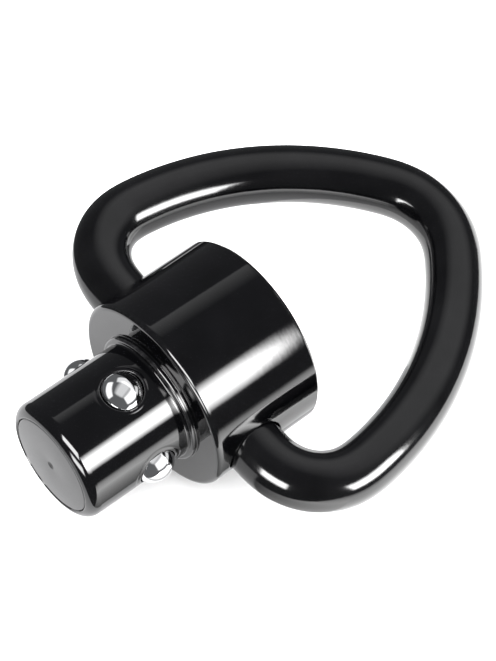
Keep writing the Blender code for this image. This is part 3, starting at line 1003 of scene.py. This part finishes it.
def paper_finish(name, colours, glow=0.0):
    """Paper with a barely visible grain, and an optional glow that is painted light."""
    material, tree, shader = new_paper(name, glow)
    grain = add_noise(tree, place_output(tree), PAPER_GRAIN_SIZE, GRAIN_OCTAVES)
    colour = add_mix(tree, add_range(tree, grain, 0.0, 1.0), *colours)
    tree.links.new(colour, shader.inputs["Base Color"])
    shader.inputs["Emission Color"].default_value = (*WHITE, 1.0)
    return material


def painted_shade_paper(name, light, glow):
    """Paper with painted shade along Y: a painted shadow that darkens it towards the object, a painted
    falloff of light that darkens it away from it, and a glow of painted light.
    """
    material, tree, shader = new_paper(name, glow)
    split = tree.nodes.new("ShaderNodeSeparateXYZ")
    tree.links.new(place_output(tree), split.inputs[0])
    painted_shadow = add_range(tree, split.outputs["Y"], WHITE_CARD_DIMMEST, 1.0, *WHITE_CARD_PAINTED_SHADOW)
    painted_falloff = add_range(tree, split.outputs["Y"], WHITE_CARD_DIMMEST, 1.0, *WHITE_CARD_PAINTED_FALLOFF)
    shade = add_mix(tree, add_product(tree, painted_shadow, painted_falloff), BLACK, light)
    tree.links.new(shade, shader.inputs["Base Color"])
    tree.links.new(shade, shader.inputs["Emission Color"])
    return material


# ---------------------------------------------------------------- studio


def add_sheet(name, low, high, height, material):
    """A level rectangle of paper between two corners."""
    bm = bmesh.new()
    corners = [(low[0], low[1]), (high[0], low[1]), (high[0], high[1]), (low[0], high[1])]
    bm.faces.new([bm.verts.new((x, y, height)) for x, y in corners])
    mesh = bpy.data.meshes.new(name)
    bm.to_mesh(mesh)
    bm.free()
    mesh.materials.append(material)
    sheet = bpy.data.objects.new(name, mesh)
    bpy.context.scene.collection.objects.link(sheet)
    return sheet


def make_floor():
    """The floor under the model's lowest point, and smaller cards that stand for it in reflections."""
    paper = paper_finish("pale_floor", FLOOR_COLOURS)
    reach = FLOOR_SIZE / 2
    ground = cad_box[0].z
    floor = add_sheet("floor", (-reach, -reach), (reach, reach), ground, paper)
    floor.visible_glossy = False
    # The grey card's colour is painted shade of the floor under and around the object, and its glow is
    # painted light.
    grey = paper_finish("grey_card", GREY_CARD_PAINTED_SHADE_COLOURS, GREY_CARD_PAINTED_GLOW)
    # The white card's fades are a painted shadow and a painted falloff of light, and its glow is painted
    # light.
    white = painted_shade_paper("white_card", FLOOR_COLOURS[1], WHITE_CARD_PAINTED_GLOW)
    cards = (
        ("grey_card", GREY_CARD, grey),
        ("white_card", WHITE_CARD, white),
        ("front_card", FRONT_CARD, paper),
        ("right_card", RIGHT_CARD, paper),
    )
    for i, (name, span, material) in enumerate(cards):
        card = add_sheet(name, *span, ground + CARD_LIFT * (i + 1), material)
        card.visible_camera = False
        card.visible_diffuse = False
        card.visible_shadow = False


def orbit(aim, azimuth, elevation, distance, roll=0.0):
    """A place round a point that looks back at it. Azimuth 0 looks along +Y and 90 degrees along -X."""
    flat = Vector((math.sin(azimuth), -math.cos(azimuth), 0.0)) * math.cos(elevation)
    back = flat + Vector((0.0, 0.0, math.sin(elevation)))
    turn = (-back).to_track_quat("-Z", "Y").to_matrix().to_4x4()
    return Matrix.Translation(aim + distance * back) @ turn @ Matrix.Rotation(roll, 4, "Z")


def add_area_light(name, place, width, height, power):
    """A rectangular light that isn't seen by the camera itself."""
    light = bpy.data.lights.new(name, "AREA")
    light.shape = "RECTANGLE"
    light.size = width
    light.size_y = height
    light.energy = power
    lamp = bpy.data.objects.new(name, light)
    bpy.context.scene.collection.objects.link(lamp)
    lamp.matrix_world = place
    lamp.visible_camera = False
    return lamp


def add_softbox(name, group, azimuth, elevation, width, height, power, fades):
    """A softbox that looks at the object, fades out towards its edges and is seen only in reflections."""
    place = orbit(AXIS_POINT, math.radians(azimuth), math.radians(elevation), SOFTBOX_DISTANCE)
    softbox = add_area_light(name, place, width, height, power)
    softbox.visible_diffuse = False
    softbox.light_linking.receiver_collection = bpy.data.collections[group]
    fade_edges(softbox.data, *fades)


def group_pieces():
    """Group the pieces for their softboxes. The empty prefix takes what neither of the others does."""
    prefixes = {"bail": "bail", "lock_ball": "balls", "": "turned"}
    for group in prefixes.values():
        bpy.data.collections.new(group)
    for piece in bpy.context.scene.objects:
        if piece.type == "MESH":
            group = next(group for prefix, group in prefixes.items() if piece.name.startswith(prefix))
            bpy.data.collections[group].objects.link(piece)


def add_overhead_light():
    """A large light above the object, for the floor alone: it isn't seen in reflections."""
    place = orbit(AXIS_POINT, 0.0, math.pi / 2, OVERHEAD_HEIGHT)
    overhead = add_area_light("overhead_light", place, OVERHEAD_SIZE, OVERHEAD_SIZE, OVERHEAD_POWER)
    overhead.visible_glossy = False


def fade_edges(light, side_fade, bottom_fade, top_fade):
    """Dim a light towards its edges, over the given shares of its width and height."""
    light.use_nodes = True
    tree = light.node_tree
    split = tree.nodes.new("ShaderNodeSeparateXYZ")
    tree.links.new(tree.nodes.new("ShaderNodeNewGeometry").outputs["Parametric"], split.inputs[0])
    across = split.outputs["X"]
    upwards = split.outputs["Y"]
    factors = [
        add_range(tree, across, 0.0, 1.0, 0.0, side_fade / 2),
        add_range(tree, across, 1.0, 0.0, 1.0 - side_fade / 2, 1.0),
        add_range(tree, upwards, 0.0, 1.0, 0.0, bottom_fade),
        add_range(tree, upwards, 1.0, 0.0, 1.0 - top_fade, 1.0),
    ]
    strength = factors[0]
    for factor in factors[1:]:
        strength = add_product(tree, strength, factor)
    tree.links.new(strength, tree.nodes["Emission"].inputs["Strength"])


def make_world():
    """Dim, even light from the rest of the room, with a pale backdrop beyond the floor."""
    world = bpy.data.worlds.new("studio")
    world.use_nodes = True
    tree = world.node_tree
    background = tree.nodes["Background"]
    background.inputs["Color"].default_value = (*ROOM_COLOUR, 1.0)
    seen_directly = tree.nodes.new("ShaderNodeLightPath").outputs["Is Camera Ray"]
    strength = add_range(tree, seen_directly, ROOM_LIGHT, BACKDROP_LIGHT, 0.0, 1.0)
    tree.links.new(strength, background.inputs["Strength"])
    bpy.context.scene.world = world


def make_camera():
    """The camera, which looks down at the tip of the stem from one side."""
    camera_data = bpy.data.cameras.new("camera")
    camera_data.lens = CAMERA_LENS
    camera_data.sensor_width = CAMERA_SENSOR
    camera_data.clip_start = CAMERA_DISTANCE / CAMERA_CLIP_RATIO
    camera_data.clip_end = CAMERA_DISTANCE * CAMERA_CLIP_RATIO
    camera = bpy.data.objects.new("camera", camera_data)
    bpy.context.scene.collection.objects.link(camera)
    camera.matrix_world = orbit(CAMERA_AIM, CAMERA_AZIMUTH, CAMERA_ELEVATION, CAMERA_DISTANCE, CAMERA_ROLL)
    bpy.context.scene.camera = camera


# ---------------------------------------------------------------- the object


def make_lock_balls():
    """The four chrome balls, each on its own body."""
    chrome = bare_metal("chrome", **CHROME_LOOK)
    for number in range(1, BALL_COUNT + 1):
        turn = Matrix.Rotation(2 * math.pi * (number - 1) / BALL_COUNT, 4, "Z")
        place = SWIVEL @ turn @ Matrix.Translation((BALL_CENTRE_RADIUS, 0.0, BALL_HOLE_HEIGHT))
        node = f"lock_ball_{number}"
        piece = finish_mesh(ball_mesh(), f"{node}_chrome", chrome, f"ball_{number}", place)
        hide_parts(node)


def make_other_pieces():
    """Every piece but the balls. Each stands for one CAD node and rides on its body."""
    polished = black_finish("polished_black", **POLISHED_LOOK)
    coated = black_finish("coated_black", **COATED_LOOK)
    pressed = black_finish("pressed_black", **PRESSED_LOOK)
    steel = bare_metal("bright_steel", **STEEL_LOOK)
    oxide = bare_metal("dark_oxide", **OXIDE_LOOK)
    hang = Matrix.Translation((0.0, 0.0, BAIL_PIVOT_HEIGHT)) @ Matrix.Rotation(BAIL_HANG, 4, "Y")
    pieces = [
        ("swivel_body", swivel_body_mesh(), polished, "swivel", "body_black", SWIVEL),
        ("stem_end_plug", plug_mesh(), pressed, "swivel", "body_black", SWIVEL),
        ("push_button", button_mesh(), pressed, "button", "body_black", SWIVEL),
        ("plunger", plunger_mesh(), steel, "button", "spring_steel", SWIVEL),
        ("snap_ring", snap_ring_mesh(), oxide, "swivel", "ring_steel", SWIVEL),
        ("return_spring", spring_mesh(), steel, "swivel", "spring_steel", SWIVEL),
        ("bail", bail_mesh(), coated, "bail", "bail_black", SWIVEL @ hang),
    ]
    for node, bm, material, body, slot, place in pieces:
        piece = finish_mesh(bm, f"{node}_fine", material, body, place)
        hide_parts(node)
    squeeze_spring(bpy.data.objects["return_spring_fine"])


def squeeze_spring(spring):
    """Give the spring its own copy of its mesh."""
    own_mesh(spring)


make_other_pieces()
make_lock_balls()
group_pieces()
make_floor()
make_world()
for softbox in SOFTBOXES:
    add_softbox(*softbox)
add_overhead_light()
make_camera()
bpy.context.scene.view_settings.view_transform = "Standard"
